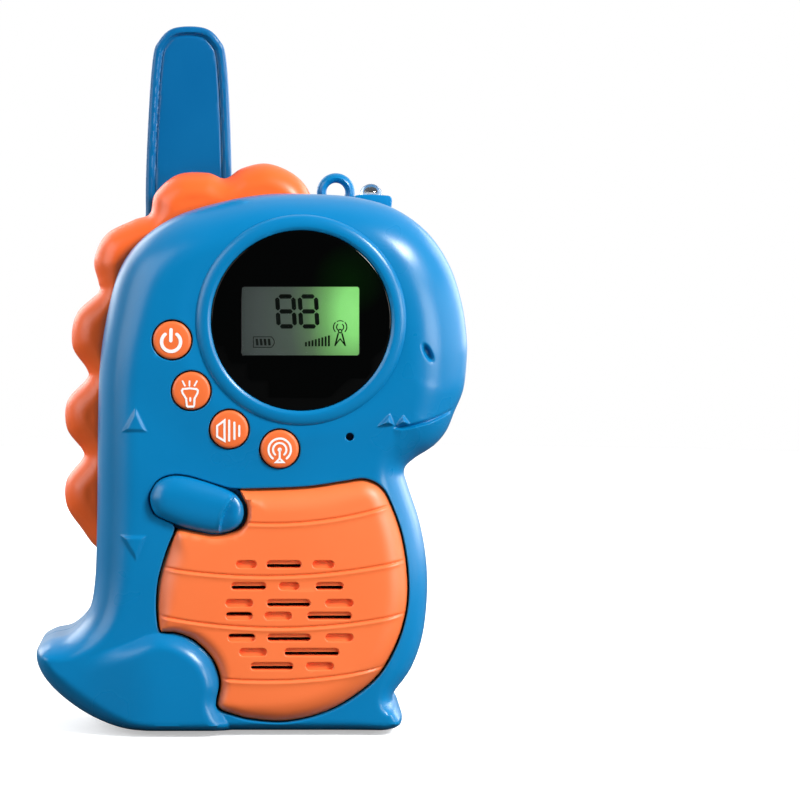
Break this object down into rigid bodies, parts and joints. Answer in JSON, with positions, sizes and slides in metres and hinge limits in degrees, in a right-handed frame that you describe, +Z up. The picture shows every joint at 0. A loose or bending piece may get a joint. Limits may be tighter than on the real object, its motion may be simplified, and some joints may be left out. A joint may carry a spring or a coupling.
{
  "type": "toy walkie talkie",
  "caption": "Handheld toy two-way radio shaped as a standing dinosaur, with a round display, front buttons, an arm shaped talk button, a belly loudspeaker grille and a belt clip.",
  "frame": {"origin": "on the sole of the front shell, 2 mm in front of the plane where the two shells meet and midway between the tail and the snout", "axes": "+Z up towards the antenna, -Y out of the face with the display, +X towards the snout"},
  "size_m": [0.0922, 0.0434, 0.1515],
  "materials": {
    "case_blue": "moulded ABS, satin gloss",
    "antenna_blue": "moulded ABS, satin gloss",
    "spike_orange": "soft touch moulded plastic",
    "belly_orange": "moulded ABS, satin",
    "button_orange": "moulded ABS, satin gloss",
    "clear_lens": "clear epoxy dome",
    "window_black": "polished acrylic, printed black behind",
    "lcd_green": "liquid crystal cell",
    "backlight_white": "light guide",
    "switch_black": "moulded nylon",
    "cloth_black": "woven dust cloth",
    "cone_paper": "pressed film cone",
    "bright_steel": "nickel plated",
    "magnet_steel": "zinc plated",
    "board_green": "solder mask on glass epoxy",
    "coil_copper": "enamelled copper wire",
    "lead_red": "PVC insulation",
    "tray_black": "moulded ABS",
    "cell_wrap": "shrink sleeve over steel can"
  },
  "bodies": {
    "case": {"front_shell": "case_blue", "rear_shell": "case_blue", "spike_crest": "spike_orange", "antenna_blade": "antenna_blue", "antenna_coil": "coil_copper", "lanyard_loop": "case_blue", "torch_led": "clear_lens", "torch_bracket": "case_blue", "display_window": "window_black", "lcd_panel": "lcd_green", "lcd_backlight": "backlight_white", "belly_panel": "belly_orange", "speaker_cloth": "cloth_black", "speaker_frame": "bright_steel", "speaker_cone": "cone_paper", "speaker_magnet": "magnet_steel", "microphone": "bright_steel", "main_board": "board_green", "front_switches": "bright_steel", "side_board": "board_green", "side_switches": "bright_steel", "rf_shield": "bright_steel", "board_chips": "switch_black", "speaker_leads": "lead_red", "battery_leads": "lead_red", "battery_tray": "tray_black", "battery_cells": "cell_wrap", "battery_springs": "bright_steel", "battery_contacts": "bright_steel", "clip_bracket": "case_blue", "clip_pin": "bright_steel", "clip_spring": "bright_steel", "case_screws": "bright_steel"},
    "power_button": {"power_button": "button_orange", "power_plunger": "switch_black"},
    "torch_button": {"torch_button": "button_orange", "torch_plunger": "switch_black"},
    "volume_button": {"volume_button": "button_orange", "volume_plunger": "switch_black"},
    "signal_button": {"signal_button": "button_orange", "signal_plunger": "switch_black"},
    "talk_button": {"talk_button": "case_blue", "talk_plunger": "switch_black"},
    "up_key": {"up_key": "button_orange", "up_plunger": "switch_black"},
    "down_key": {"down_key": "button_orange", "down_plunger": "switch_black"},
    "battery_door": {"battery_door": "case_blue"},
    "door_screw": {"door_screw": "bright_steel"},
    "belt_clip": {"belt_clip": "case_blue"}
  },
  "joints": [
    {"name": "power_press", "type": "slide", "parent": "case", "child": "power_button", "axis": [0, 1, 0], "range_m": [0, 0.0008], "stiffness_N_per_m": 800},
    {"name": "torch_press", "type": "slide", "parent": "case", "child": "torch_button", "axis": [0, 1, 0], "range_m": [0, 0.0008], "stiffness_N_per_m": 800},
    {"name": "volume_press", "type": "slide", "parent": "case", "child": "volume_button", "axis": [0, 1, 0], "range_m": [0, 0.0008], "stiffness_N_per_m": 800},
    {"name": "signal_press", "type": "slide", "parent": "case", "child": "signal_button", "axis": [0, 1, 0], "range_m": [0, 0.0008], "stiffness_N_per_m": 800},
    {"name": "talk_press", "type": "slide", "parent": "case", "child": "talk_button", "axis": [0, 1, 0], "range_m": [0, 0.0012], "stiffness_N_per_m": 900},
    {"name": "up_press", "type": "slide", "parent": "case", "child": "up_key", "axis": [1, 0, 0], "range_m": [0, 0.0008], "stiffness_N_per_m": 800},
    {"name": "down_press", "type": "slide", "parent": "case", "child": "down_key", "axis": [1, 0, 0], "range_m": [0, 0.0008], "stiffness_N_per_m": 800},
    {"name": "door_off", "type": "slide", "parent": "case", "child": "battery_door", "axis": [0, 1, 0], "range_m": [0, 0.025]},
    {"name": "door_screw_turn", "type": "hinge", "parent": "battery_door", "child": "door_screw", "pos_m": [0.001, 0.016, 0.066], "axis": [0, 1, 0], "continuous": true},
    {"name": "clip_open", "type": "hinge", "parent": "case", "child": "belt_clip", "pos_m": [0.003, 0.0212, 0.097], "axis": [1, 0, 0], "range_deg": [0, 15], "stiffness_Nm_per_rad": 0.3}
  ]
}
